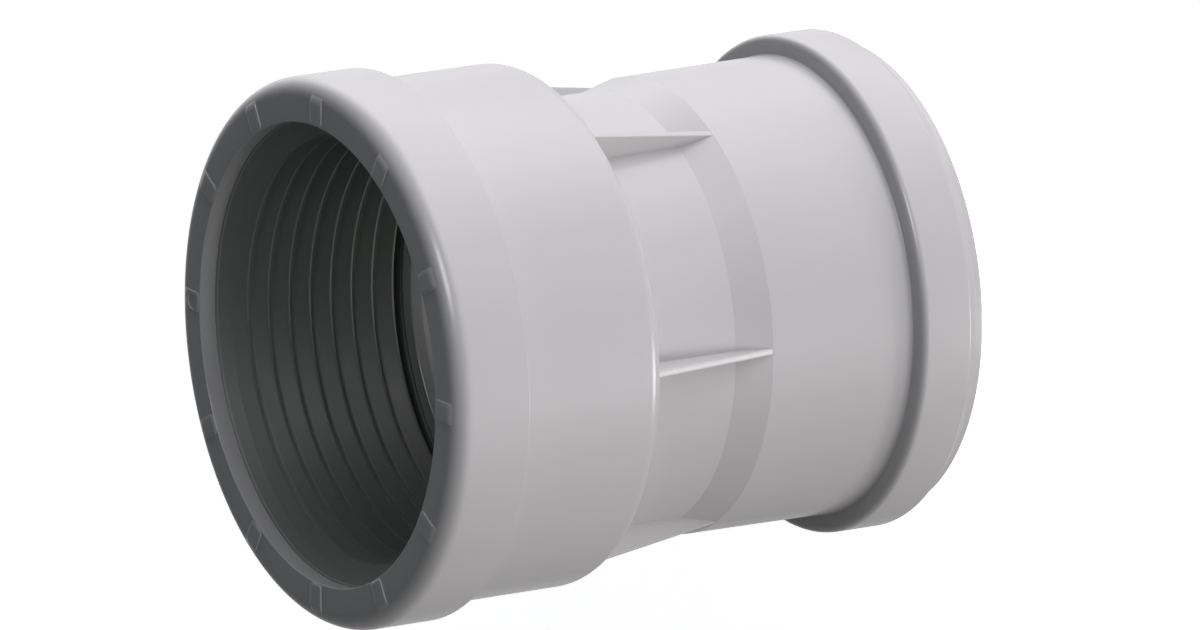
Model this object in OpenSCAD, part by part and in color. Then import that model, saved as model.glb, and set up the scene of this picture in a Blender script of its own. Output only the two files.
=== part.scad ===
// Straight push-fit coupling that joins a cast iron drain pipe to a plastic drain pipe.
// It stands on the rim of its plastic pipe socket, with the cast iron pipe's mouth on top.
// The origin is on the pipe axis, in the plane of the lower rim, and +Z runs up the axis.

/* [Plastic pipe socket] */
// Outer diameter of the plastic pipe
plastic_pipe_d = 110; // [106:0.5:114]
// Gap all round the plastic pipe in its socket
pipe_gap = 0.2; // [0.1:0.05:0.5]
// Wall of the plastic pipe socket
barrel_wall = 3.45; // [2.8:0.05:4.4]
// Height of the seal bead, from the lower rim to its upper face
bead_h = 20.15; // [18.6:0.05:24]
// Depth of the seal's groove inside the bead
groove_depth = 5.35; // [4.6:0.05:7]
// Wall of the seal bead outside its groove
bead_wall = 3.3; // [2.6:0.1:3.8]
// Rounding of the bead's upper edge
bead_round = 4.2; // [2:0.1:5]
// Rounding of the bead's lower edge
bead_edge_round = 1; // [0.4:0.1:2]
// Wall of the lower rim
rim_wall = 4.15; // [3.2:0.05:5]
// Straight height of the lower rim
rim_h = 1.85; // [1:0.05:2.5]
// Height of the sloping step between the rim and the bead
rim_slope_h = 3.15; // [2:0.05:4.5]
// How much wider the lower rim opens than the bore, on each side
rim_flare = 1.1; // [0.6:0.1:1.6]
// Lead-in chamfer at the rim's inner edge
rim_lead = 1.2; // [0.4:0.1:1.8]
// Length of the plain barrel above the bead
barrel_h = 40.5; // [30:0.5:60]
// Height of the inner step that stops the plastic pipe
stop_step_h = 3.3; // [2:0.1:6]

/* [Neck] */
// Reach of the step that stops the plastic pipe, across the axis
pipe_stop_w = 2.6; // [1.8:0.1:4]
// Wall of the neck
neck_wall = 3.3; // [2.6:0.05:4.2]
// Height of the cone between the barrel and the neck
cone_h = 9.45; // [7:0.05:16]
// Height of the neck
neck_h = 27; // [18:0.5:45]
// Number of stiffening ribs around the neck
rib_count = 6; // [3:1:12]
// Thickness of one rib
rib_t = 1.8; // [1:0.1:3]
// Distance of a rib's outer edge from the big socket's outside, at the shoulder
rib_inset = 2.4; // [1.5:0.1:5]

/* [Cast iron pipe socket] */
// Outer diameter of the cast iron pipe
iron_pipe_d = 110; // [106:0.5:114]
// Room for the seal sleeve between the pipe and the big socket
seal_room = 8.3; // [7.4:0.1:10]
// Wall of the big socket
socket_wall = 3.4; // [2.8:0.05:4.4]
// Depth of the big socket, from its mouth to its inner shoulder
socket_depth = 50.35; // [46:0.05:66]
// Thickness of the shoulder below the big socket
shoulder_t = 3.7; // [3:0.1:6]
// Rounding of the big socket's lower edge
shoulder_round = 4; // [2:0.1:5]
// Lead-in from the shoulder down into the neck, along the axis
stop_lead_h = 2.6; // [1:0.1:3]
// Lead-in from the shoulder down into the neck, across the axis
stop_lead_w = 0.9; // [0.4:0.1:1.5]

/* [Retaining ring] */
// Gap all round the cast iron pipe in the ring's opening
mouth_gap = 4.05; // [3:0.05:5]
// Thickness of the ring's face
face_t = 4.7; // [3.5:0.1:6]
// Wall of the ring's skirt
skirt_wall = 3.35; // [2.8:0.05:4.5]
// Length of the skirt past the big socket's mouth
skirt_h = 12.7; // [10.5:0.1:20]
// Rounding of the ring's outer edge
ring_round = 4.75; // [2:0.05:6]
// Taper of the ring's opening, from its face to the seal
mouth_draft = 0.4; // [0:0.1:0.8]
// Number of raised tabs on the ring's face
tab_count = 12; // [4:1:16]
// Width of one tab
tab_w = 5.4; // [3:0.1:7]
// Height of a tab above the face
tab_h = 0.4; // [0.2:0.05:1]
// Rounding of a tab's two inner corners
tab_round = 1.3; // [0.5:0.1:1.5]
// Gap from the mouth's edge to the tabs
tab_edge = 0.25; // [0.2:0.05:0.8]
// How far inside the ring's outer rounding the tabs start to slope away
tab_slope = 0.9; // [0.5:0.1:2]
// Angle by which the ring sits turned against the ribs
ring_turn = -1.3; // [-15:0.1:15]
// Diameter of the moulding mark on one tab
gate_d = 4.2; // [1:0.1:4.6]
// Depth of the moulding mark
gate_depth = 0.3; // [0.2:0.05:1]
// Number of the tab that carries the moulding mark
gate_tab = 4; // [0:1:15]
// Height of the snap bead that holds the ring
snap_rise = 0.8; // [0.4:0.1:1.2]
// Length of the snap bead along the axis
snap_h = 2.4; // [1.6:0.1:3.2]
// Distance of the snap bead from the big socket's mouth
snap_drop = 6.2; // [5:0.1:7]

/* [Seals] */
// How far the cast iron pipe bends each fin outwards
fin_squeeze = 0.6; // [0.2:0.1:1.6]
// Number of sealing fins, where the socket is deep enough
fin_count = 8; // [3:1:9]
// Distance from one fin to the next
fin_pitch = 6.08; // [5.5:0.02:6.4]
// Distance of the first fin's tip from the ring's face
fin_start = 11.55; // [10.5:0.05:13]
// Length of the land on a fin's tip
fin_land = 0.6; // [0.4:0.1:1]
// Depth of the sloping side of a fin, across the axis
fin_slope_w = 2.9; // [2:0.1:3.4]
// Rubber left behind the grooves between the fins
sleeve_wall = 4.1; // [2.5:0.1:4.6]
// Thickness of the seal's flange under the ring
flange_t = 3.5; // [2.5:0.1:5]
// How far the plastic pipe bends the lip outwards
lip_squeeze = 1.3; // [0.5:0.1:2]
// Height of the lip seal's body
lip_seal_h = 7.6; // [6.5:0.1:8]
// Length of the land on the lip's edge
lip_land = 1.2; // [0.6:0.1:1.6]
// Gap between a seal and the plastic around it
seal_gap = 0.1; // [0.05:0.05:0.2]
// Gap between the ring's skirt and the big socket
skirt_gap = 0.15; // [0.05:0.05:0.3]

/* [Hidden] */
$fn = 180;
arc_steps = 8;
edge_chamfer = 0.5;
sink = 0.5;

shell_colour = "#bdbcbe";
rubber_colour = "#2b2d2b";

// Radii
pipe_r = plastic_pipe_d / 2 + pipe_gap;
barrel_r = pipe_r + barrel_wall;
groove_r = pipe_r + groove_depth;
bead_r = groove_r + bead_wall;
rim_bore_r = pipe_r + rim_flare;
rim_r = rim_bore_r + rim_wall;
neck_bore_r = pipe_r - pipe_stop_w;
neck_r = neck_bore_r + neck_wall;
sleeve_bore_r = iron_pipe_d / 2 + seal_room;
socket_r = sleeve_bore_r + socket_wall;
skirt_bore_r = socket_r + skirt_gap;
ring_r = skirt_bore_r + skirt_wall;
mouth_r = iron_pipe_d / 2 + mouth_gap;
fin_tip_r = iron_pipe_d / 2 - fin_squeeze;
lip_tip_r = plastic_pipe_d / 2 - lip_squeeze;

// Levels up the axis
slope_top_z = rim_h + rim_slope_h;
barrel_top_z = bead_h + barrel_h;
cone_top_z = barrel_top_z + cone_h;
shoulder_z = cone_top_z + neck_h;
stop_z = shoulder_z + shoulder_t;
socket_mouth_z = stop_z + socket_depth;
flange_top_z = socket_mouth_z + flange_t;
face_z = flange_top_z + face_t;
skirt_end_z = socket_mouth_z - skirt_h;
snap_top_z = socket_mouth_z - snap_drop;
snap_bottom_z = snap_top_z - snap_h;
snap_slope = snap_rise * 0.6;

// The lip seal's groove starts at the level of the bead's lower edge
groove_z = slope_top_z - bead_edge_round / 2;
groove_h = lip_seal_h + 2 * seal_gap;
groove_slope_h = 1.4;

// The plastic pipe stops on the step that starts here
stop_step_z = barrel_top_z + barrel_wall / 2;

// Each outer step holds its rounding and, in the room left, the fillet at its foot
bead_step = bead_r - barrel_r;
bead_corner = min(bead_round, 0.85 * bead_step);
bead_foot = min(1, bead_step - bead_corner);
shoulder_step = socket_r - neck_r;
shoulder_corner = min(shoulder_round, 0.85 * shoulder_step);
neck_foot = min(0.8, shoulder_step - shoulder_corner);

// Points on an arc, used for every rounding
function arc(centre, radius, from, to) = [
    for (i = [0:arc_steps])
        let (a = from + (to - from) * i / arc_steps)
        centre + radius * [cos(a), sin(a)]
];

// Body: one moulding with both sockets, the neck and its ribs
function body_inner() = [
    [rim_bore_r + rim_lead, 0],
    [rim_bore_r, rim_lead],
    [rim_bore_r, groove_z],
    [groove_r, groove_z],
    [groove_r, groove_z + groove_h],
    [pipe_r + (groove_r - pipe_r) / 4, groove_z + groove_h],
    [pipe_r, groove_z + groove_h + groove_slope_h],
    [pipe_r, stop_step_z],
    [neck_bore_r, stop_step_z + stop_step_h],
    [neck_bore_r, stop_z - stop_lead_h],
    [neck_bore_r + stop_lead_w, stop_z],
    [sleeve_bore_r, stop_z],
    [sleeve_bore_r, socket_mouth_z]
];

function snap_bead() = [
    [socket_r, snap_top_z],
    [socket_r + snap_rise, snap_bottom_z + 2 * snap_slope],
    [socket_r + snap_rise, snap_bottom_z + snap_slope],
    [socket_r, snap_bottom_z]
];

function body_outer() = concat(
    [[socket_r, socket_mouth_z]],
    snap_bead(),
    arc([socket_r - shoulder_corner, shoulder_z + shoulder_corner], shoulder_corner, 0, -90),
    arc([neck_r + neck_foot, shoulder_z - neck_foot], neck_foot, 90, 180),
    [[neck_r, cone_top_z], [barrel_r, barrel_top_z]],
    arc([barrel_r + bead_foot, bead_h + bead_foot], bead_foot, 180, 270),
    arc([bead_r - bead_corner, bead_h - bead_corner], bead_corner, 90, 0),
    arc([bead_r - bead_edge_round, slope_top_z + bead_edge_round], bead_edge_round, 0, -45),
    [[rim_r, rim_h], [rim_r, edge_chamfer], [rim_r - edge_chamfer, 0]]
);

rib_sink = 0.1;

module neck_rib() {
    rib_top_r = socket_r - rib_inset;
    rib_root_r = neck_bore_r + neck_wall / 2;
    rotate([90, 0, 0])
        linear_extrude(height = rib_t, center = true)
            polygon([
                [rib_root_r, shoulder_z + shoulder_t / 2],
                [rib_top_r, shoulder_z + shoulder_t / 2],
                [barrel_r - rib_sink, barrel_top_z],
                [pipe_r + barrel_wall / 2, barrel_top_z],
                [rib_root_r, cone_top_z]
            ]);
}

module coupling_body() {
    color(shell_colour) {
        rotate_extrude() polygon(concat(body_inner(), body_outer()));
        for (i = [0:rib_count - 1])
            rotate([0, 0, 360 * i / rib_count]) neck_rib();
    }
}

// Retaining ring: it snaps over the big socket's mouth and clamps the seal's flange
function ring_profile() = concat(
    [
        [mouth_r, face_z],
        [mouth_r + mouth_draft, flange_top_z],
        [skirt_bore_r, flange_top_z],
        [skirt_bore_r, snap_top_z + skirt_gap],
        [skirt_bore_r + snap_rise, snap_bottom_z + 2 * snap_slope + skirt_gap],
        [skirt_bore_r + snap_rise, snap_bottom_z + snap_slope - skirt_gap],
        [skirt_bore_r, snap_bottom_z - skirt_gap],
        [skirt_bore_r, skirt_end_z + edge_chamfer],
        [skirt_bore_r + edge_chamfer, skirt_end_z],
        [ring_r - edge_chamfer / 2, skirt_end_z],
        [ring_r, skirt_end_z + edge_chamfer / 2]
    ],
    arc([ring_r - ring_round, face_z - ring_round], ring_round, 0, 90)
);

tab_inner_r = mouth_r + tab_edge;
tab_outer_r = ring_r - ring_round / 3;
tab_top_z = face_z + tab_h;
tab_foot_z = face_z - face_t / 2;

module face_tab() {
    corner_x = tab_inner_r + tab_round;
    corner_y = tab_w / 2 - tab_round;
    translate([0, 0, tab_foot_z])
        linear_extrude(height = tab_top_z + sink - tab_foot_z)
            polygon(concat(
                [[tab_outer_r, -tab_w / 2], [tab_outer_r, tab_w / 2]],
                arc([corner_x, corner_y], tab_round, 90, 180),
                arc([corner_x, -corner_y], tab_round, 180, 270)
            ));
}

// The tabs' common top: level, then sloping away into the ring's outer rounding
function tab_top_profile() = concat(
    [[tab_inner_r - tab_edge / 2, tab_foot_z], [tab_outer_r + sink, tab_foot_z]],
    arc([ring_r - ring_round - tab_slope, tab_top_z - ring_round], ring_round, 45, 90),
    [[tab_inner_r - tab_edge / 2, tab_top_z]]
);

module face_tabs() {
    intersection() {
        for (i = [0:tab_count - 1])
            rotate([0, 0, 360 * i / tab_count]) face_tab();
        rotate_extrude() polygon(tab_top_profile());
    }
}

module gate_mark() {
    translate([(tab_inner_r + ring_r - ring_round) / 2, 0, tab_top_z - gate_depth])
        cylinder(h = gate_depth + sink, d = gate_d);
}

module retaining_ring() {
    color(shell_colour)
        rotate([0, 0, ring_turn])
            difference() {
                union() {
                    rotate_extrude() polygon(ring_profile());
                    face_tabs();
                }
                rotate([0, 0, 360 * gate_tab / tab_count]) gate_mark();
            }
}

// Seal for the cast iron pipe: a flanged sleeve with fins that lean into the socket
sleeve_r = sleeve_bore_r - seal_gap;
fin_root_r = fin_tip_r + fin_slope_w;
sleeve_groove_r = sleeve_r - sleeve_wall;
fin_first_z = face_z - fin_start;
fin_fit = floor((fin_first_z - stop_z - fin_pitch / 2) / fin_pitch) + 1;
fin_total = min(fin_count, fin_fit);
fin_back_h = 0.5;
fin_valley_h = 1.1;

// One fin seen down its section, from its sloping side to the groove below its tip
function fin_outline(tip_z) = [
    [fin_tip_r, tip_z + fin_land],
    [fin_tip_r, tip_z],
    [sleeve_groove_r, tip_z + fin_back_h],
    [sleeve_groove_r, tip_z - fin_back_h],
    [fin_root_r, tip_z - fin_valley_h]
];

function sleeve_inner() = [
    for (i = [0:fin_total - 1])
        each fin_outline(fin_first_z - i * fin_pitch)
];

module iron_pipe_seal() {
    lead_top_r = mouth_r + mouth_draft + seal_gap;
    lead_end_z = fin_first_z + fin_pitch - fin_valley_h - fin_land;
    color(rubber_colour)
        rotate_extrude()
            polygon(concat(
                [
                    [socket_r - seal_gap, flange_top_z],
                    [lead_top_r, flange_top_z],
                    [fin_root_r, lead_end_z]
                ],
                sleeve_inner(),
                [
                    [fin_root_r, stop_z],
                    [sleeve_r, stop_z],
                    [sleeve_r, socket_mouth_z],
                    [socket_r - seal_gap, socket_mouth_z]
                ]
            ));
}

// Seal for the plastic pipe: a ring in the bead's groove with one lip that leans inwards
lip_rim_t = 1.6;
lip_drop = 1;
lip_back_w = 1.4;
lip_back_h = 0.6;
lip_foot_h = 1.2;
lip_foot_w = 0.6;

module plastic_pipe_seal() {
    foot_z = groove_z + seal_gap;
    head_z = foot_z + lip_seal_h;
    back_r = groove_r - seal_gap;
    throat_r = rim_bore_r + lip_foot_w;
    lip_z = head_z - lip_drop;
    color(rubber_colour)
        rotate_extrude()
            polygon([
                [back_r, foot_z],
                [back_r, head_z],
                [back_r - lip_rim_t, head_z],
                [back_r - 1.5 * lip_rim_t, foot_z + lip_seal_h / 2],
                [lip_tip_r + lip_back_w, lip_z + lip_back_h],
                [lip_tip_r, lip_z],
                [lip_tip_r, lip_z - lip_land],
                [throat_r, foot_z + lip_foot_h],
                [throat_r + lip_foot_w, foot_z]
            ]);
}

coupling_body();
retaining_ring();
iron_pipe_seal();
plastic_pipe_seal();
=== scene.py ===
"""Dresses the pipe coupling's four pieces, and sets its floor, its light and its camera.

Sizes are in millimetres, as in the part's source, and heights count up the pipe axis from
the lower rim. Meshes, finishes, lamps and the camera are in metres.
"""

import logging
import math
from dataclasses import dataclass
from enum import Enum
from typing import Any, Sequence

import bmesh
import bpy
from mathutils import Matrix, Vector


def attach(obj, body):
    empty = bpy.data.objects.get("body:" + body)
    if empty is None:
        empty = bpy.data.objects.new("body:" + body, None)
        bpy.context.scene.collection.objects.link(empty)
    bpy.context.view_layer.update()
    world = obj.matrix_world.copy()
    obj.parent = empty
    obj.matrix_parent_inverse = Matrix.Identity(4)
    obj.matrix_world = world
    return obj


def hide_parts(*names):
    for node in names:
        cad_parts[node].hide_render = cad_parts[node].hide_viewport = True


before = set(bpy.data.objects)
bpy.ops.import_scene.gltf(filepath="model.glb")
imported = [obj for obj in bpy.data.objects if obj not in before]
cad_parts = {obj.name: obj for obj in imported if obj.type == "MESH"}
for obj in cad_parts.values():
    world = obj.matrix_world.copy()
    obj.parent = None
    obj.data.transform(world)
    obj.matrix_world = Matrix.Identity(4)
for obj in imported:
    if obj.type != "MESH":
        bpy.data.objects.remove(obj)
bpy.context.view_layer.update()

MM = 0.001

# A point of an outline is its radius from the axis and its height, and a corner adds a rounding.
Point = tuple[float, float]
Corner = tuple[float, float, float]

# A colour, a direction or a place, and a stretch from where a tone is none to where it is full.
Triple = tuple[float, float, float]
Span = tuple[float, float]

UP = (0.0, 0.0, 1.0)
WHITE = (1.0, 1.0, 1.0, 1.0)

# Points closer than this, in metres, are one point.
MERGE_GAP = 1e-7

# An outline's corner counts as straight when half its angle is past this.
STRAIGHT_HALF = math.radians(89.5)

# The share of an edge's length that one rounding may take.
ROUNDING_SHARE = 0.49

# How far a snap bead's slope runs up the axis for each millimetre of its rise.
SNAP_SLOPE = 0.6

log = logging.getLogger("coupling")


class Slot(Enum):
    """The record's material slots."""

    BODY = "body_plastic"
    RING = "ring_plastic"
    SEAL = "seal_rubber"


class Pattern(Enum):
    """How a repeated shape is set out."""

    ROUND_AXIS = "round the pipe axis"
    ALONG_AXIS = "along the pipe axis"


# Outlines and turned meshes


def rounded(corners: Sequence[Corner], steps: int = 6) -> list[Point]:
    """Rounds each corner of a closed outline with its own radius.

    Args:
        corners: radius from the axis, height, and rounding of each corner.
        steps: how many edges a rounding has.

    Returns:
        The outline's points, in the same order.
    """
    points: list[Point] = []
    for i, (r, z, rounding) in enumerate(corners):
        here = Vector((r, z))
        before = Vector(corners[i - 1][:2]) - here
        after = Vector(corners[(i + 1) % len(corners)][:2]) - here
        half = before.angle(after) / 2
        if rounding == 0 or half > STRAIGHT_HALF:
            points.append((r, z))
            continue
        cut = min(rounding / math.tan(half), ROUNDING_SHARE * min(before.length, after.length))
        radius = cut * math.tan(half)
        before.normalize()
        after.normalize()
        centre = here + (before + after).normalized() * (radius / math.sin(half))
        start = here + before * cut - centre
        end = here + after * cut - centre
        first = math.atan2(start.y, start.x)
        sweep = math.remainder(math.atan2(end.y, end.x) - first, 2 * math.pi)
        for step in range(steps + 1):
            angle = first + sweep * step / steps
            points.append((centre.x + radius * math.cos(angle), centre.y + radius * math.sin(angle)))
    return points


def turned(name: str, outline: Sequence[Point], segments: int = 256) -> bpy.types.Mesh:
    """Turns a closed outline round the pipe axis.

    Args:
        name: the mesh's name.
        outline: points as radius and height, counter-clockwise.
        segments: how many steps the turn has.

    Returns:
        A closed mesh with its faces outwards.
    """
    verts = [
        (
            r * MM * math.cos(2 * math.pi * k / segments),
            r * MM * math.sin(2 * math.pi * k / segments),
            z * MM,
        )
        for r, z in outline
        for k in range(segments)
    ]
    count = len(outline)
    faces = []
    for i in range(count):
        low, high = i * segments, (i + 1) % count * segments
        for k in range(segments):
            n = (k + 1) % segments
            faces.append((low + k, low + n, high + n, high + k))
    mesh = bpy.data.meshes.new(name)
    mesh.from_pydata(verts, [], faces)
    return mesh


def tidy(mesh: bpy.types.Mesh, crease: float = 32.0) -> bpy.types.Mesh:
    """Turns the faces outwards and shades the mesh smooth, except over sharp edges.

    Args:
        mesh: the mesh to finish.
        crease: the angle in degrees from which an edge stays sharp.

    Returns:
        The same mesh.
    """
    work = bmesh.new()
    work.from_mesh(mesh)
    bmesh.ops.remove_doubles(work, verts=work.verts, dist=MERGE_GAP)
    bmesh.ops.recalc_face_normals(work, faces=work.faces)
    work.to_mesh(mesh)
    work.free()
    mesh.shade_smooth()
    mesh.set_sharp_from_angle(angle=math.radians(crease))
    return mesh


def worked(name: str, work: bmesh.types.BMesh) -> bpy.types.Mesh:
    """Turns faces made by hand outwards and hands them back as a mesh.

    Args:
        name: the mesh's name.
        work: the faces, which are freed.

    Returns:
        The new mesh.
    """
    bmesh.ops.recalc_face_normals(work, faces=work.faces)
    mesh = bpy.data.meshes.new(name)
    work.to_mesh(mesh)
    work.free()
    return mesh


def applied(holder: bpy.types.Object, modifier: bpy.types.Modifier) -> bpy.types.Mesh:
    """Applies a modifier.

    Args:
        holder: the object that has it, and loses it here.
        modifier: the modifier.

    Returns:
        The result as a plain mesh of its own.
    """
    bpy.context.view_layer.update()
    seen = holder.evaluated_get(bpy.context.evaluated_depsgraph_get())
    plain = bpy.data.meshes.new_from_object(seen)
    holder.modifiers.remove(modifier)
    return plain


def joined(name: str, meshes: Sequence[bpy.types.Mesh]) -> bpy.types.Object:
    """Puts several meshes into one object at the origin.

    Args:
        name: the object's name.
        meshes: the meshes, in place.

    Returns:
        The new object, linked to the scene.
    """
    work = bmesh.new()
    for mesh in meshes:
        work.from_mesh(mesh)
    whole = bpy.data.meshes.new(name)
    work.to_mesh(whole)
    work.free()
    for mesh in meshes:
        bpy.data.meshes.remove(mesh)
    tidy(whole)
    made = bpy.data.objects.new(name, whole)
    bpy.context.scene.collection.objects.link(made)
    return made


# Shader graph


class Value:
    """A number socket that takes part in sums: each operator adds a Math node."""

    def __init__(self, graph: "Graph", socket: bpy.types.NodeSocket) -> None:
        """Keeps the graph and the output socket."""
        self.graph = graph
        self.socket = socket

    def _maths(self, operation: str, left: Any, right: Any) -> "Value":
        """Adds one Math node on two values."""
        return self.graph.node("ShaderNodeMath", {"operation": operation}, {0: left, 1: right})

    def __add__(self, other: Any) -> "Value":
        """Sum."""
        return self._maths("ADD", self, other)

    def __radd__(self, other: Any) -> "Value":
        """Sum with a number in front."""
        return self._maths("ADD", other, self)

    def __sub__(self, other: Any) -> "Value":
        """Difference."""
        return self._maths("SUBTRACT", self, other)

    def __rsub__(self, other: Any) -> "Value":
        """Difference from a number in front."""
        return self._maths("SUBTRACT", other, self)

    def __mul__(self, other: Any) -> "Value":
        """Product."""
        return self._maths("MULTIPLY", self, other)

    def __rmul__(self, other: Any) -> "Value":
        """Product with a number in front."""
        return self._maths("MULTIPLY", other, self)

    def clamped(self) -> "Value":
        """Keeps the value between 0 and 1."""
        return self.graph.node("ShaderNodeClamp", {}, {"Value": self})

    def ramp(self, none_at: float, full_at: float) -> "Value":
        """Goes in a straight line from 0 at one level to 1 at another, and stays there past them."""
        return ((self - none_at) * (1 / (full_at - none_at))).clamped()


class Graph:
    """A shader node tree that is filled by one helper."""

    def __init__(self, tree: bpy.types.NodeTree) -> None:
        """Empties the tree."""
        self.tree = tree
        tree.nodes.clear()

    def node(self, kind: str, settings: dict[str, Any], inputs: dict[Any, Any], output: Any = 0) -> Value:
        """Adds a node.

        Args:
            kind: the node's type.
            settings: its properties, set first.
            inputs: numbers, colours or links by socket name or index.
            output: the name or index of the output that is handed back.

        Returns:
            That output as a value.
        """
        made = self.tree.nodes.new(kind)
        for key, setting in settings.items():
            setattr(made, key, setting)
        for key, given in inputs.items():
            if isinstance(given, Value):
                self.tree.links.new(given.socket, made.inputs[key])
            else:
                made.inputs[key].default_value = given
        return Value(self, made.outputs[output] if made.outputs else None)

    def noise(self, place: Value, scale: float, detail: float = 2.0, rough: float = 0.5) -> Value:
        """Adds a noise of the given scale, per metre, on a place."""
        return self.node(
            "ShaderNodeTexNoise",
            {},
            {"Vector": place, "Scale": scale, "Detail": detail, "Roughness": rough},
            "Fac",
        )

    def stretched(self, place: Value, scale: Triple) -> Value:
        """Stretches a place along the axes."""
        return self.node("ShaderNodeMapping", {}, {"Vector": place, "Scale": scale})

    def along(self, direction: Value, axis: Triple) -> Value:
        """Gives how far a direction goes along an axis."""
        return self.node(
            "ShaderNodeVectorMath", {"operation": "DOT_PRODUCT"}, {0: direction, 1: axis}, "Value"
        )

    def seen(self, mirror_share: float = 1.0) -> Value:
        """Marks what the camera sees straight, through glass, or as a share in a mirror.

        Args:
            mirror_share: how much of it shows in a mirror.

        Returns:
            1 for the camera's own look, the share in a mirror, and 0 for light on a surface.
        """
        straight, mirrored, through = (
            self.node("ShaderNodeLightPath", {}, {}, kind)
            for kind in ("Is Camera Ray", "Is Glossy Ray", "Is Transmission Ray")
        )
        return (straight + mirrored * mirror_share + through).clamped()

    def fraction(self, value: Value) -> Value:
        """Gives what is left of a value over its whole number."""
        return self.node("ShaderNodeMath", {"operation": "FRACT"}, {0: value})

    def bump(self, height: Value, strength: float, depth: float, under: Value | None = None) -> Value:
        """Raises the surface.

        Args:
            height: the relief, from 0 to 1.
            strength: how much of it counts.
            depth: how high a relief of 1 is, in metres.
            under: another bump that this one lies on.

        Returns:
            The surface's normal.
        """
        inputs: dict[Any, Any] = {"Strength": strength, "Distance": depth, "Height": height}
        if under is not None:
            inputs["Normal"] = under
        return self.node("ShaderNodeBump", {}, inputs)

    def mixed(self, factor: Any, first: Any, second: Any) -> Value:
        """Mixes two colours, each given as three numbers or as a value."""
        first, second = (c if isinstance(c, Value) else (*c, 1.0) for c in (first, second))
        return self.node("ShaderNodeMix", {"data_type": "RGBA"}, {0: factor, 6: first, 7: second}, 2)


def new_graph(name: str) -> tuple[bpy.types.Material, Graph]:
    """Makes a material with an empty tree.

    Args:
        name: the material's name.

    Returns:
        The material and its graph.
    """
    made = bpy.data.materials.new(name)
    made.use_nodes = True
    return made, Graph(made.node_tree)


@dataclass(frozen=True)
class PlasticFinish:
    """Satin moulded plastic: slow tone drift, flow streaks up the axis, and a fine grain."""

    name: str
    colour: Triple = (0.492, 0.482, 0.488)
    tone_drift: float = 0.035
    cloud_share: float = 0.6
    roughness: float = 0.25
    rough_drift: float = 0.06
    rough_grain: float = 0.015
    ior: float = 1.49
    cloud_scale: float = 22.0
    streak_scale: float = 130.0
    streak_stretch: Triple = (1.0, 1.0, 0.12)
    grain_scale: float = 1500.0
    grain_depth: float = 0.000004
    grain_strength: float = 0.5
    wave_depth: float = 0.00006
    wave_strength: float = 0.35

    def build(self) -> bpy.types.Material:
        """Makes the material.

        Returns:
            The material, which follows the piece's own place.
        """
        made, graph = new_graph(self.name)
        place = graph.node("ShaderNodeTexCoord", {}, {}, "Object")
        cloud = graph.noise(place, self.cloud_scale, detail=3.0)
        flow = graph.stretched(place, self.streak_stretch)
        streak = graph.noise(flow, self.streak_scale, detail=3.0, rough=0.6)
        grain = graph.noise(place, self.grain_scale, rough=0.6)
        light = tuple(c * (1 + self.tone_drift) for c in self.colour)
        dark = tuple(c * (1 - self.tone_drift) for c in self.colour)
        tone = (cloud * self.cloud_share + streak * (1 - self.cloud_share)).clamped()
        rough = self.roughness + (streak - 0.5) * self.rough_drift + (grain - 0.5) * self.rough_grain
        waves = graph.bump(cloud, self.wave_strength, self.wave_depth)
        shader = graph.node(
            "ShaderNodeBsdfPrincipled",
            {},
            {
                "Base Color": graph.mixed(tone, dark, light),
                "Roughness": rough,
                "Normal": graph.bump(grain, self.grain_strength, self.grain_depth, waves),
                "IOR": self.ior,
            },
        )
        graph.node("ShaderNodeOutputMaterial", {}, {"Surface": shader})
        return made


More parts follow.
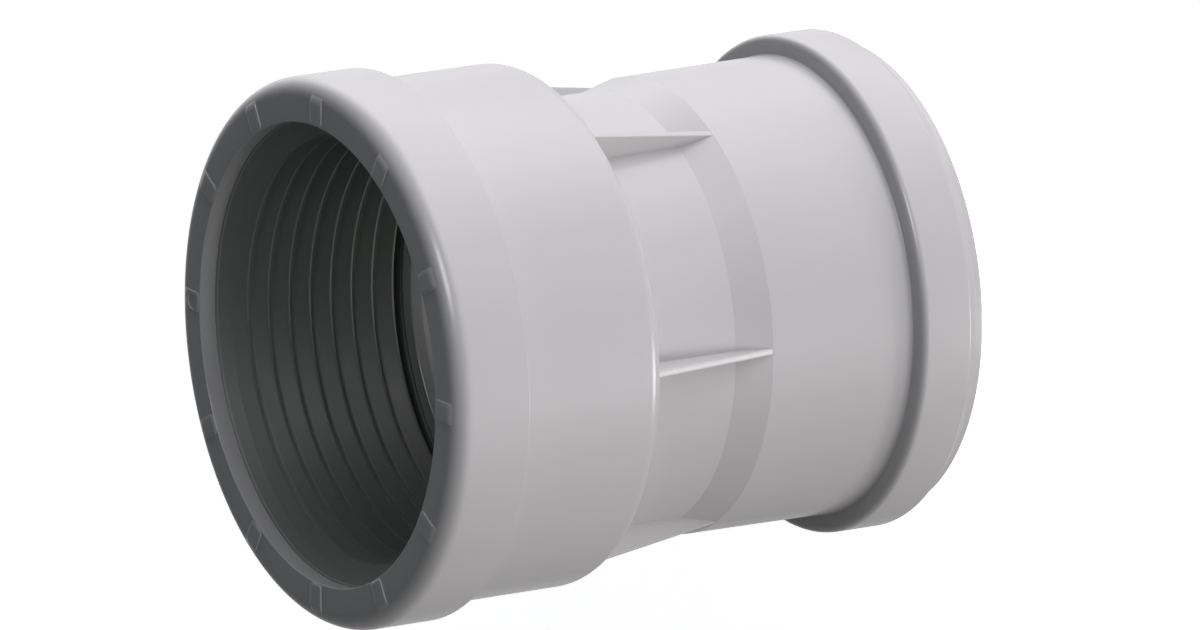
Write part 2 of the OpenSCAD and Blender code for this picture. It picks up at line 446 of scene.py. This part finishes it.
@dataclass(frozen=True)
class RubberFinish:
    """Matt moulded rubber: near black, a dry bloom, painted light in the shade under the fins, and a
    painted highlight on the fin tips.

    Each span says where a tone is none and where it is full: the painted light under each fin and the
    painted highlight on each tip, on the way from one fin's tip up to the next, counted from 0 to 1, and
    the painted light's end in metres above the first fin's tip.
    """

    name: str
    first_fin: float
    fin_pitch: float
    colour: Triple = (0.122, 0.130, 0.118)
    bloom: Triple = (0.166, 0.175, 0.160)
    patch_share: float = 0.7
    ring_share: float = 0.5
    bloom_start: float = 0.1
    # The colour of the painted light under the fins and of the painted highlight on their tips.
    painted_light: Triple = (0.42, 0.43, 0.41)
    under_fin_light_span: Span = (0.56, 0.76)
    under_fin_light_cover: float = 0.8
    tip_highlight_span: Span = (0.08, 0.04)
    tip_highlight_cover: float = 0.3
    under_fin_light_end: Span = (0.0015, -0.001)
    roughness: float = 0.58
    rough_drift: float = 0.16
    ior: float = 1.5
    patch_scale: float = 60.0
    ring_scale: float = 260.0
    ring_stretch: Triple = (0.3, 0.3, 3.0)
    grain_scale: float = 2200.0
    grain_depth: float = 0.00002
    grain_strength: float = 0.6

    def build(self) -> bpy.types.Material:
        """Makes the material.

        Returns:
            The material, which follows the piece's own place.
        """
        made, graph = new_graph(self.name)
        place = graph.node("ShaderNodeTexCoord", {}, {}, "Object")
        patch = graph.noise(place, self.patch_scale, detail=4.0, rough=0.6)
        turning = graph.stretched(place, self.ring_stretch)
        ring = graph.noise(turning, self.ring_scale, detail=3.0, rough=0.6)
        grain = graph.noise(place, self.grain_scale, rough=0.6)
        dry = (patch * self.patch_share + ring * self.ring_share - self.bloom_start).clamped()
        height = graph.along(place, UP) - self.first_fin
        climb = graph.fraction(height * (1 / self.fin_pitch))
        # Painted light: below the first fin's tip, the upper part of each slope, in the shade under the
        # fin above, is lightened.
        under_fin_light = climb.ramp(*self.under_fin_light_span) * height.ramp(*self.under_fin_light_end)
        # Painted highlight: each fin's tip land is lightened too.
        pale = under_fin_light * self.under_fin_light_cover + climb.ramp(*self.tip_highlight_span) * self.tip_highlight_cover
        tone = graph.mixed(dry, self.colour, self.bloom)
        shader = graph.node(
            "ShaderNodeBsdfPrincipled",
            {},
            {
                "Base Color": graph.mixed(pale, tone, self.painted_light),
                "Roughness": self.roughness + (patch - 0.5) * self.rough_drift,
                "Normal": graph.bump(grain, self.grain_strength, self.grain_depth),
                "IOR": self.ior,
            },
        )
        graph.node("ShaderNodeOutputMaterial", {}, {"Surface": shader})
        return made


# Repeated shapes


@dataclass
class Repeat:
    """Sets out copies of one mesh with Geometry Nodes, and gives back a plain mesh.

    The start and the step are radians round the axis or metres along it. One copy may be skipped.
    """

    pattern: Pattern
    count: int
    step: float
    start: float = 0.0
    skip: int = -1

    def _tree(self, material: bpy.types.Material) -> bpy.types.NodeTree:
        """Builds the node tree, with named inputs.

        Args:
            material: what the copies are made of.

        Returns:
            The tree.
        """
        tree = bpy.data.node_groups.new("repeat", "GeometryNodeTree")
        kinds = {"Geometry": "Geometry", "Count": "Int", "Step": "Float", "Start": "Float", "Skip": "Int"}
        for name, kind in kinds.items():
            tree.interface.new_socket(name, in_out="INPUT", socket_type=f"NodeSocket{kind}")
        tree.interface.new_socket("Geometry", in_out="OUTPUT", socket_type="NodeSocketGeometry")
        nodes, links = tree.nodes, tree.links
        given = nodes.new("NodeGroupInput")
        points = nodes.new("GeometryNodePoints")
        index = nodes.new("GeometryNodeInputIndex")
        spaced = nodes.new("ShaderNodeMath")
        spaced.operation = "MULTIPLY_ADD"
        wanted = nodes.new("FunctionNodeCompare")
        wanted.data_type = "INT"
        wanted.operation = "NOT_EQUAL"
        vector = nodes.new("ShaderNodeCombineXYZ")
        copies = nodes.new("GeometryNodeInstanceOnPoints")
        real = nodes.new("GeometryNodeRealizeInstances")
        dress = nodes.new("GeometryNodeSetMaterial")
        dress.inputs["Material"].default_value = material
        result = nodes.new("NodeGroupOutput")
        links.new(given.outputs["Count"], points.inputs["Count"])
        links.new(index.outputs[0], spaced.inputs[0])
        links.new(given.outputs["Step"], spaced.inputs[1])
        links.new(given.outputs["Start"], spaced.inputs[2])
        links.new(spaced.outputs[0], vector.inputs["Z"])
        links.new(index.outputs[0], wanted.inputs[2])
        links.new(given.outputs["Skip"], wanted.inputs[3])
        links.new(wanted.outputs[0], copies.inputs["Selection"])
        if self.pattern is Pattern.ROUND_AXIS:
            links.new(vector.outputs[0], copies.inputs["Rotation"])
            links.new(points.outputs[0], copies.inputs["Points"])
        else:
            moved = nodes.new("GeometryNodeSetPosition")
            links.new(points.outputs[0], moved.inputs["Geometry"])
            links.new(vector.outputs[0], moved.inputs["Position"])
            links.new(moved.outputs[0], copies.inputs["Points"])
        links.new(given.outputs["Geometry"], copies.inputs["Instance"])
        links.new(copies.outputs[0], real.inputs[0])
        links.new(real.outputs[0], dress.inputs["Geometry"])
        links.new(dress.outputs[0], result.inputs[0])
        return tree

    def made(self, shape: bpy.types.Mesh, material: bpy.types.Material) -> bpy.types.Mesh:
        """Makes the copies.

        Args:
            shape: the mesh that is repeated.
            material: what it is made of.

        Returns:
            One plain mesh with every copy.
        """
        holder = bpy.data.objects.new("repeat", shape)
        bpy.context.scene.collection.objects.link(holder)
        modifier = holder.modifiers.new("repeat", "NODES")
        modifier.node_group = self._tree(material)
        sizes = {"Count": self.count, "Step": self.step, "Start": self.start, "Skip": self.skip}
        for item in modifier.node_group.interface.items_tree:
            if item.in_out == "INPUT" and item.name in sizes:
                modifier[item.identifier] = sizes[item.name]
        holder.update_tag()
        plain = applied(holder, modifier)
        bpy.data.objects.remove(holder)
        bpy.data.meshes.remove(shape)
        return plain


# Pieces


@dataclass
class CouplingBody:
    """The moulding with both sockets, the neck and its ribs."""

    rim_r: float = 60.45
    rim_h: float = 1.85
    rim_bore_r: float = 56.3
    rim_lead: float = 1.2
    bead_r: float = 63.85
    bead_h: float = 20.15
    bead_low_z: float = 5.6
    bead_fall: float = 0.85
    bead_sink: float = 0.45
    bead_round: float = 1.9
    groove_r: float = 60.55
    groove_low_z: float = 4.5
    groove_top_z: float = 12.3
    groove_lead_w: float = 1.34
    groove_lead_h: float = 1.4
    pipe_r: float = 55.2
    barrel_low_r: float = 58.86
    barrel_top_r: float = 58.5
    barrel_top_z: float = 60.65
    stop_step_z: float = 62.375
    stop_step_h: float = 3.3
    neck_r: float = 55.88
    neck_bore_r: float = 52.6
    cone_top_z: float = 70.1
    shoulder_z: float = 97.1
    shoulder_round: float = 4.0
    shoulder_t: float = 3.7
    stop_lead_h: float = 2.6
    stop_lead_w: float = 0.9
    sleeve_bore_r: float = 63.3
    socket_r: float = 66.7
    socket_draft: float = 0.05
    socket_mouth_z: float = 151.15
    snap_top_z: float = 144.95
    snap_h: float = 2.4
    snap_rise: float = 0.8
    rib_count: int = 6
    rib_t: float = 1.8
    rib_top_r: float = 64.15
    rib_foot_w: float = 1.5
    rib_sunk: float = 0.1
    rib_bevel: float = 0.22

    def outline(self) -> list[Point]:
        """Gives the moulding's section.

        Returns:
            The closed outline, up the outside and down the inside.
        """
        stop_z = self.shoulder_z + self.shoulder_t
        slope = SNAP_SLOPE * self.snap_rise
        low_snap = self.snap_top_z - self.snap_h
        return rounded(
            [
                (self.rim_bore_r + self.rim_lead, 0, 0.2),
                (self.rim_r, 0, 0.5),
                (self.rim_r, self.rim_h, 0.25),
                (self.bead_r, self.bead_low_z, 1.0),
                (self.bead_r, self.bead_h - self.bead_fall, self.bead_round),
                (self.barrel_low_r, self.bead_h - self.bead_sink, 0.5),
                (self.barrel_top_r, self.barrel_top_z, 0.3),
                (self.neck_r, self.cone_top_z, 0.3),
                (self.neck_r, self.shoulder_z, 0.5),
                (self.socket_r - self.socket_draft, self.shoulder_z, self.shoulder_round),
                (self.socket_r, low_snap, 0.1),
                (self.socket_r + self.snap_rise, low_snap + slope, 0.15),
                (self.socket_r + self.snap_rise, low_snap + 2 * slope, 0.15),
                (self.socket_r, self.snap_top_z, 0.1),
                (self.socket_r, self.socket_mouth_z, 0.2),
                (self.sleeve_bore_r, self.socket_mouth_z, 0.2),
                (self.sleeve_bore_r, stop_z, 0.2),
                (self.neck_bore_r + self.stop_lead_w, stop_z, 0.4),
                (self.neck_bore_r, stop_z - self.stop_lead_h, 1.0),
                (self.neck_bore_r, self.stop_step_z + self.stop_step_h, 0.5),
                (self.pipe_r, self.stop_step_z, 0.3),
                (self.pipe_r, self.groove_top_z + self.groove_lead_h, 0.3),
                (self.pipe_r + self.groove_lead_w, self.groove_top_z, 0.2),
                (self.groove_r, self.groove_top_z, 0.3),
                (self.groove_r, self.groove_low_z, 0.3),
                (self.rim_bore_r, self.groove_low_z, 0.4),
                (self.rim_bore_r, self.rim_lead, 0.3),
            ]
        )

    def rib(self) -> bpy.types.Mesh:
        """Makes one rib: a thin web whose outer edges are softened.

        Returns:
            The rib's closed mesh, on the X axis, with its root sunk in the neck.
        """
        root_r = (self.neck_r + self.neck_bore_r) / 2
        head_z = self.shoulder_z + self.shoulder_t / 2
        foot_r = self.barrel_top_r - self.rib_sunk
        web = [
            (root_r, head_z),
            (self.rib_top_r, head_z),
            (foot_r, self.barrel_top_z),
            (foot_r - self.rib_foot_w, self.barrel_top_z),
            (root_r, self.cone_top_z),
        ]
        work = bmesh.new()
        sides = [
            [work.verts.new((r * MM, y * MM, z * MM)) for r, z in web]
            for y in (-self.rib_t / 2, self.rib_t / 2)
        ]
        work.faces.new(sides[0])
        work.faces.new(sides[1][::-1])
        for i in range(len(web)):
            n = (i + 1) % len(web)
            work.faces.new((sides[0][i], sides[1][i], sides[1][n], sides[0][n]))
        outer = [e for side in sides for e in side[1].link_edges if e.other_vert(side[1]) is side[2]]
        bmesh.ops.bevel(
            work, geom=outer, offset=self.rib_bevel * MM, segments=3, profile=0.5, affect="EDGES"
        )
        return worked("rib", work)

    def build(self, finish: bpy.types.Material) -> bpy.types.Object:
        """Builds the piece and lets it stand for its CAD node.

        Args:
            finish: the piece's material.

        Returns:
            The finished piece.
        """
        ribs = Repeat(Pattern.ROUND_AXIS, self.rib_count, 2 * math.pi / self.rib_count)
        meshes = [turned("body", self.outline()), ribs.made(self.rib(), finish)]
        return settled(joined("body_shell", meshes), "coupling_body", finish)


@dataclass
class RetainingRing:
    """The ring that grips the big socket, with raised tabs on its face.

    The turn and the corner steps are in degrees.
    """

    ring_r: float = 70.2
    ring_round: float = 4.75
    skirt_bore_r: float = 66.85
    skirt_end_z: float = 138.45
    snap_top_z: float = 145.1
    snap_h: float = 2.7
    snap_rise: float = 0.8
    face_z: float = 159.35
    flange_top_z: float = 154.65
    mouth_r: float = 59.05
    mouth_draft: float = 0.4
    tab_count: int = 12
    tab_w: float = 5.4
    tab_h: float = 0.4
    tab_round: float = 1.3
    tab_edge: float = 0.25
    tab_slope: float = 0.9
    tab_end: float = 2.6
    tab_sunk: float = 2.0
    tab_soft: float = 0.06
    tab_bulge: float = 0.3
    tab_dip: float = 0.8
    tab_dip_w: float = 0.7
    corner_steps: tuple[int, ...] = (4, 18, 36, 54, 72, 90)
    slope_steps: int = 12
    turn: float = -1.3
    gate_tab: int = 4
    gate_d: float = 4.2
    gate_depth: float = 0.3
    gate_edge: float = 0.1
    gate_core_r: float = 0.001

    def outline(self) -> list[Point]:
        """Gives the ring's section.

        Returns:
            The closed outline, up the outside and down the inside.
        """
        slope = SNAP_SLOPE * self.snap_rise
        low_snap = self.snap_top_z - self.snap_h
        return rounded(
            [
                (self.skirt_bore_r, self.skirt_end_z, 0.5),
                (self.ring_r, self.skirt_end_z, 0.3),
                (self.ring_r, self.face_z, self.ring_round),
                (self.mouth_r, self.face_z, 0.3),
                (self.mouth_r + self.mouth_draft, self.flange_top_z, 0),
                (self.skirt_bore_r, self.flange_top_z, 0.2),
                (self.skirt_bore_r, self.snap_top_z, 0.1),
                (self.skirt_bore_r + self.snap_rise, self.snap_top_z - 2 * slope, 0.15),
                (self.skirt_bore_r + self.snap_rise, low_snap + slope, 0.15),
                (self.skirt_bore_r, low_snap, 0.1),
            ],
            steps=12,
        )

    def slope_r(self) -> float:
        """Gives how far from the pipe axis the tabs' tops begin to slope."""
        return self.ring_r - self.ring_round - self.tab_slope

    def top_z(self, r: float) -> float:
        """Gives the level of a tab's top.

        Args:
            r: the distance from the pipe axis.

        Returns:
            The top's height, which falls off at the mouth and over the ring's rounding.
        """
        past = max(0.0, r - self.slope_r())
        centre_z = self.face_z + self.tab_h - self.ring_round
        short = max(0.0, 1 - (r - self.mouth_r - self.tab_edge) / self.tab_dip_w)
        dip = self.tab_dip * self.tab_h * short**2
        return centre_z + math.sqrt(self.ring_round**2 - past**2) - dip

    def tab(self) -> bpy.types.Mesh:
        """Makes one tab: level, then sloping away into the ring's outer rounding.

        Returns:
            The tab's closed mesh, on the X axis, with its foot sunk in the ring.
        """
        inner, half, corner = self.mouth_r + self.tab_edge, self.tab_w / 2, self.tab_round
        bends = [inner + corner * (1 - math.cos(math.radians(a))) for a in self.corner_steps]
        length = self.ring_r - self.tab_end - self.slope_r()
        slopes = [self.slope_r() + length * i / self.slope_steps for i in range(self.slope_steps + 1)]
        foot_z = self.face_z - self.tab_sunk
        soft, bulge = self.tab_soft, self.tab_bulge
        work = bmesh.new()
        sections = []
        for x in [*bends, *slopes]:
            in_corner = max(0.0, inner + corner - x)
            side = half - corner + math.sqrt(corner**2 - in_corner**2)
            lean = soft * in_corner / corner
            across = [
                (side, 0.0, foot_z),
                (side, 0.0, -soft),
                (side - bulge * soft, bulge * lean, -bulge * soft),
                (side - soft, lean, 0.0),
                (side / 2, lean, 0.0),
            ]
            other_side = [(-y, shift, z) for y, shift, z in reversed(across)]
            section = []
            for y, shift, z in across + other_side:
                level = z if z == foot_z else self.top_z(math.hypot(x, y)) + z
                section.append(work.verts.new(Vector((x + shift, y, level)) * MM))
            sections.append(section)
        for low, high in zip(sections, sections[1:]):
            for i in range(len(low)):
                n = (i + 1) % len(low)
                work.faces.new((low[i], low[n], high[n], high[i]))
        work.faces.new(sections[0])
        work.faces.new(sections[-1][::-1])
        return worked("tab", work)

    def marked_tab(self) -> bpy.types.Mesh:
        """Makes the tab that carries the moulding mark, a shallow round hollow.

        Returns:
            The tab's closed mesh, on the X axis.
        """
        middle = (self.mouth_r + self.tab_edge + self.ring_r - self.ring_round) / 2
        top, radius, edge = self.face_z + self.tab_h, self.gate_d / 2, self.gate_edge
        floor_z = top - self.gate_depth
        outline = [
            (self.gate_core_r, floor_z),
            (radius - edge, floor_z),
            (radius, top - edge),
            (radius + edge, top + edge),
            (self.gate_core_r, top + edge),
        ]
        plug = turned("plug", outline, segments=64)
        plug.transform(Matrix.Translation((middle * MM, 0, 0)))
        tab = bpy.data.objects.new("tab", tidy(self.tab()))
        cutter = bpy.data.objects.new("plug", tidy(plug))
        for made in (tab, cutter):
            bpy.context.scene.collection.objects.link(made)
        hollow = tab.modifiers.new("hollow", "BOOLEAN")
        hollow.operation = "DIFFERENCE"
        hollow.solver = "EXACT"
        hollow.object = cutter
        plain = applied(tab, hollow)
        for made in (tab, cutter):
            bpy.data.objects.remove(made)
        return plain

    def build(self, finish: bpy.types.Material) -> bpy.types.Object:
        """Builds the piece and lets it stand for its CAD node.

        Args:
            finish: the piece's material.

        Returns:
            The finished piece.
        """
        step = 2 * math.pi / self.tab_count
        start = math.radians(self.turn)
        tabs = Repeat(Pattern.ROUND_AXIS, self.tab_count, step, start, skip=self.gate_tab)
        marked = self.marked_tab()
        marked.transform(Matrix.Rotation(start + self.gate_tab * step, 4, "Z"))
        meshes = [turned("ring", self.outline()), tabs.made(self.tab(), finish), marked]
        return settled(joined("ring_shell", meshes), "retaining_ring", finish)


@dataclass
class IronPipeSeal:
    """The rubber sleeve with its flange and its row of sealing fins."""

    flange_r: float = 66.6
    flange_low_z: float = 151.15
    flange_top_z: float = 154.65
    lead_top_r: float = 59.55
    lead_end_z: float = 151.2
    sleeve_r: float = 63.2
    groove_r: float = 59.1
    root_r: float = 57.3
    tip_r: float = 54.4
    end_z: float = 100.8
    end_lip_h: float = 0.8
    end_slope_h: float = 0.6
    first_tip_z: float = 147.8
    fin_count: int = 8
    fin_pitch: float = 6.08
    fin_land: float = 0.6
    back_h: float = 0.5
    valley_h: float = 1.1
    tip_round: float = 0.14
    fin_sunk: float = 0.4

    def sleeve(self) -> list[Point]:
        """Gives the sleeve's section.

        Returns:
            The closed outline, with the flange, the lead-in and the first fin.
        """
        tip = self.first_tip_z
        return rounded(
            [
                (self.root_r, self.end_z, 0.3),
                (self.sleeve_r, self.end_z, 0.2),
                (self.sleeve_r, self.flange_low_z, 0),
                (self.flange_r, self.flange_low_z, 0.2),
                (self.flange_r, self.flange_top_z, 0.2),
                (self.lead_top_r, self.flange_top_z, 0.1),
                (self.root_r, self.lead_end_z, 0.4),
                (self.tip_r, tip + self.fin_land, self.tip_round),
                (self.tip_r, tip, self.tip_round),
                (self.groove_r, tip + self.back_h, 0.3),
                (self.groove_r, self.end_z + self.end_lip_h + self.end_slope_h, 0.3),
                (self.root_r, self.end_z + self.end_lip_h, 0.3),
            ],
            steps=5,
        )

    def fin(self) -> list[Point]:
        """Gives the second fin's section.

        Returns:
            The closed outline, with its root sunk in the sleeve.
        """
        tip = self.first_tip_z - self.fin_pitch
        sunk = self.groove_r + self.fin_sunk
        return rounded(
            [
                (self.tip_r, tip, self.tip_round),
                (self.groove_r, tip + self.back_h, 0.1),
                (sunk, tip + self.back_h, 0),
                (sunk, tip + self.fin_pitch - self.back_h, 0),
                (self.groove_r, tip + self.fin_pitch - self.back_h, 0.1),
                (self.root_r, tip + self.fin_pitch - self.valley_h, 0.35),
                (self.tip_r, tip + self.fin_land, self.tip_round),
            ],
            steps=4,
        )

    def build(self, finish: bpy.types.Material) -> bpy.types.Object:
        """Builds the piece and lets it stand for its CAD node.

        Args:
            finish: the piece's material.

        Returns:
            The finished piece.
        """
        fins = Repeat(Pattern.ALONG_AXIS, self.fin_count - 1, -self.fin_pitch * MM)
        meshes = [turned("sleeve", self.sleeve()), fins.made(turned("fin", self.fin()), finish)]
        return settled(joined("sleeve_shell", meshes), "iron_pipe_seal", finish)


@dataclass
class PlasticPipeSeal:
    """The lip ring in the bead's groove."""

    back_r: float = 60.45
    foot_z: float = 4.6
    head_z: float = 12.2
    tip_r: float = 53.7
    lip_z: float = 11.2
    lip_land: float = 1.2
    lip_back_w: float = 1.4
    lip_back_h: float = 0.6
    throat_r: float = 56.9
    throat_h: float = 1.2
    foot_lead: float = 0.6
    rim_t: float = 1.6
    waist_share: float = 1.5

    def outline(self) -> list[Point]:
        """Gives the lip ring's section.

        Returns:
            The closed outline, up the back and down the lip.
        """
        return rounded(
            [
                (self.throat_r + self.foot_lead, self.foot_z, 0.3),
                (self.back_r, self.foot_z, 0.3),
                (self.back_r, self.head_z, 0.3),
                (self.back_r - self.rim_t, self.head_z, 0.3),
                (self.back_r - self.waist_share * self.rim_t, (self.foot_z + self.head_z) / 2, 0.5),
                (self.tip_r + self.lip_back_w, self.lip_z + self.lip_back_h, 0.3),
                (self.tip_r, self.lip_z, 0.3),
                (self.tip_r, self.lip_z - self.lip_land, 0.3),
                (self.throat_r, self.foot_z + self.throat_h, 0.5),
            ]
        )

    def build(self, finish: bpy.types.Material) -> bpy.types.Object:
        """Builds the piece and lets it stand for its CAD node.

        Args:
            finish: the piece's material.

        Returns:
            The finished piece.
        """
        shell = joined("lip_ring_shell", [turned("lip_ring", self.outline())])
        return settled(shell, "plastic_pipe_seal", finish)


def settled(
    piece: bpy.types.Object, node: str, finish: bpy.types.Material
) -> bpy.types.Object:
    """Gives a finished piece its material, its body and its CAD node.

    Args:
        piece: the finished piece.
        node: the CAD node that it stands for.
        finish: its material.

    Returns:
        The same piece.
    """
    piece.data.materials.clear()
    piece.data.materials.append(finish)
    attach(piece, "root")
    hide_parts(node)
    return piece


# Floor, light and camera


# The lamps' two directions from the object: above the camera's side, and below the table's edge.
CAMERA_SIDE = (0.69, -0.215, 0.69)
TABLE_EDGE = (0.096, -0.60, -0.794)

# How far a soft panel reaches: the cosine of the angle from its middle to its edge.
WIDE = 0.4
NARROW = 0.82
NARROWEST = 0.85


@dataclass(frozen=True)
class SoftLamp:
    """One soft square lamp, hung in a direction from the object.

    A lamp for sheen alone shows in glossy reflections and doesn't light the surface.
    """

    name: str
    towards: Triple
    size: float
    power: float
    colour: Triple = (1.0, 1.0, 1.0)
    sheen_only: bool = False
    distance: float = 1.6

    def build(self, middle: Vector) -> None:
        """Hangs the lamp.

        Args:
            middle: the point that it faces.
        """
        light = bpy.data.lights.new(self.name, "AREA")
        light.size = self.size
        light.energy = self.power
        light.color = self.colour
        made = bpy.data.objects.new(self.name, light)
        away = Vector(self.towards).normalized()
        made.location = middle + away * self.distance
        made.rotation_euler = away.to_track_quat("Z", "Y").to_euler()
        made.visible_camera = False
        made.visible_diffuse = not self.sheen_only
        bpy.context.scene.collection.objects.link(made)


@dataclass(frozen=True)
class SoftPanel:
    """A soft patch of light in the surround, brightest at its middle.

    The turn is counted in degrees from the +X axis, and the rise from the floor's level.
    """

    turn: float
    rise: float
    level: float
    reach: float

    def glow(self, graph: Graph, direction: Value) -> Value:
        """Gives the patch's light.

        Args:
            graph: the surround's graph.
            direction: the way that is looked along.

        Returns:
            The light that comes from there.
        """
        turn, rise = math.radians(self.turn), math.radians(self.rise)
        middle = (math.cos(rise) * math.cos(turn), math.cos(rise) * math.sin(turn), math.sin(rise))
        near = graph.along(direction, middle).ramp(self.reach, 1.0)
        return near * near * self.level


@dataclass
class Studio:
    """A pale floor, soft panels round the object, and four soft lamps, two for sheen alone.

    The floor lets the light from under it through, as a lit shooting table does. The panels'
    levels and the lamps' powers follow the photo's tones.
    """

    floor_size: float = 8.0
    floor_tone: float = 0.8
    floor_glow: float = 0.93
    mirror_share: float = 0.25
    middle: Triple = (0.0, 0.0, 0.09)
    panels: tuple[SoftPanel, ...] = (
        SoftPanel(41.6, -35, 2.59, NARROW),
        SoftPanel(281.6, -35, 0.24, NARROW),
        SoftPanel(11.6, -10, 3.44, NARROW),
        SoftPanel(41.6, -10, 1.2, NARROW),
        SoftPanel(71.6, -10, 2.5, NARROW),
        SoftPanel(101.6, -10, 0.55, NARROW),
        SoftPanel(281.6, -10, 1.18, NARROW),
        SoftPanel(311.6, -10, 0.2, NARROW),
        SoftPanel(341.6, -10, 1.8, NARROW),
        SoftPanel(343, 10, 0.24, NARROW),
        SoftPanel(101.6, -25, 0.76, WIDE),
        SoftPanel(221.6, -25, 0.46, WIDE),
        SoftPanel(281.6, -25, 0.62, WIDE),
        SoftPanel(281.6, 8, 0.22, WIDE),
        SoftPanel(135.8, -30, 0.25, NARROWEST),
    )
    warm: Triple = (1.012, 0.985, 0.965)
    cool: Triple = (0.998, 0.99, 1.03)
    cool_side: Triple = (0.748, 0.664, 0.0)
    overhead: Triple = (0.88, 0.975, 1.03)
    overhead_rise: Span = (0.0667, 0.4)
    lamps: tuple[SoftLamp, ...] = (
        SoftLamp("front_softbox", CAMERA_SIDE, size=0.50, power=1.6, colour=(0.94, 1.0, 1.02)),
        SoftLamp("sheen_strip", CAMERA_SIDE, size=0.52, power=8.5, sheen_only=True),
        SoftLamp("edge_sheen_strip", TABLE_EDGE, size=0.46, power=4.5, sheen_only=True),
        SoftLamp("table_edge_lamp", TABLE_EDGE, size=0.34, power=5.1),
    )

    def floor(self) -> None:
        """Lays the floor: white to the camera, and it keeps the object's shadow."""
        mesh = bpy.data.meshes.new("floor")
        half = self.floor_size / 2
        square = [(-half, -half, 0), (half, -half, 0), (half, half, 0), (-half, half, 0)]
        mesh.from_pydata(square, [], [(0, 1, 2, 3)])
        floor = bpy.data.objects.new("floor", mesh)
        bpy.context.scene.collection.objects.link(floor)
        made, graph = new_graph("pale_floor")
        tone = (self.floor_tone,) * 3
        matt = graph.node("ShaderNodeBsdfDiffuse", {}, {"Color": (*tone, 1.0)})
        strength = graph.seen() * self.floor_glow
        glow = graph.node("ShaderNodeEmission", {}, {"Color": WHITE, "Strength": strength})
        both = graph.node("ShaderNodeAddShader", {}, {0: matt, 1: glow})
        graph.node("ShaderNodeOutputMaterial", {}, {"Surface": both})
        floor.data.materials.append(made)
        floor.visible_diffuse = False
        floor.visible_glossy = False
        floor.visible_shadow = False

    def surround(self) -> None:
        """Lights the world: white to the camera, and the soft panels to the object."""
        world = bpy.data.worlds.new("surround")
        bpy.context.scene.world = world
        world.use_nodes = True
        graph = Graph(world.node_tree)
        towards = graph.node("ShaderNodeTexCoord", {}, {}, "Generated")
        level: Any = 0.0
        for panel in self.panels:
            level = level + panel.glow(graph, towards)
        seen = graph.seen(self.mirror_share)
        coolness = graph.along(towards, self.cool_side).ramp(-1.0, 1.0)
        height = graph.along(towards, UP).ramp(*self.overhead_rise)
        tint = graph.mixed(height, graph.mixed(coolness, self.warm, self.cool), self.overhead)
        back = graph.node("ShaderNodeBackground", {}, {"Color": tint, "Strength": level})
        plain = graph.node("ShaderNodeBackground", {}, {"Color": WHITE, "Strength": 1.0})
        both = graph.node("ShaderNodeMixShader", {}, {0: seen, 1: back, 2: plain})
        graph.node("ShaderNodeOutputWorld", {}, {"Surface": both})

    def build(self) -> None:
        """Sets the floor, the surround and the lamps."""
        self.floor()
        self.surround()
        for lamp in self.lamps:
            lamp.build(Vector(self.middle))


@dataclass
class PhotoCamera:
    """The camera, found from the photo's outlines: a long lens, rolled on its side.

    The right, up and back directions are the camera's own axes.
    """

    place: Triple = (3.30530, -3.21323, 2.70464)
    right: Triple = (0.24872, -0.44698, -0.85927)
    up: Triple = (0.74166, 0.65848, -0.12785)
    back: Triple = (0.62297, -0.60549, 0.49528)
    lens: float = 629.4
    sensor: float = 36.0
    near_end: float = 0.1
    far_end: float = 60.0

    def build(self) -> None:
        """Makes the camera the scene's own."""
        data = bpy.data.cameras.new("photo_camera")
        data.lens = self.lens
        data.sensor_width = self.sensor
        data.clip_start = self.near_end
        data.clip_end = self.far_end
        made = bpy.data.objects.new("photo_camera", data)
        bpy.context.scene.collection.objects.link(made)
        turn = Matrix((self.right, self.up, self.back)).transposed()
        made.matrix_world = Matrix.Translation(self.place) @ turn.to_4x4()
        bpy.context.scene.camera = made


def main() -> None:
    """Builds the finishes, the pieces, the studio and the camera."""
    logging.basicConfig(level=logging.INFO, format="%(message)s")
    body_finish = PlasticFinish("body_plastic").build()
    ring_finish = PlasticFinish("ring_plastic").build()
    sleeve = IronPipeSeal()
    rubber = RubberFinish("seal_rubber", sleeve.first_tip_z * MM, sleeve.fin_pitch * MM).build()
    for maker, finish in (
        (CouplingBody(), body_finish),
        (RetainingRing(), ring_finish),
        (sleeve, rubber),
        (PlasticPipeSeal(), rubber),
    ):
        piece = maker.build(finish)
        log.info("%s: %d faces", piece.name, len(piece.data.polygons))
    PhotoCamera().build()
    Studio().build()
    bpy.context.scene.view_settings.view_transform = "Standard"


if __name__ == "__main__":
    main()
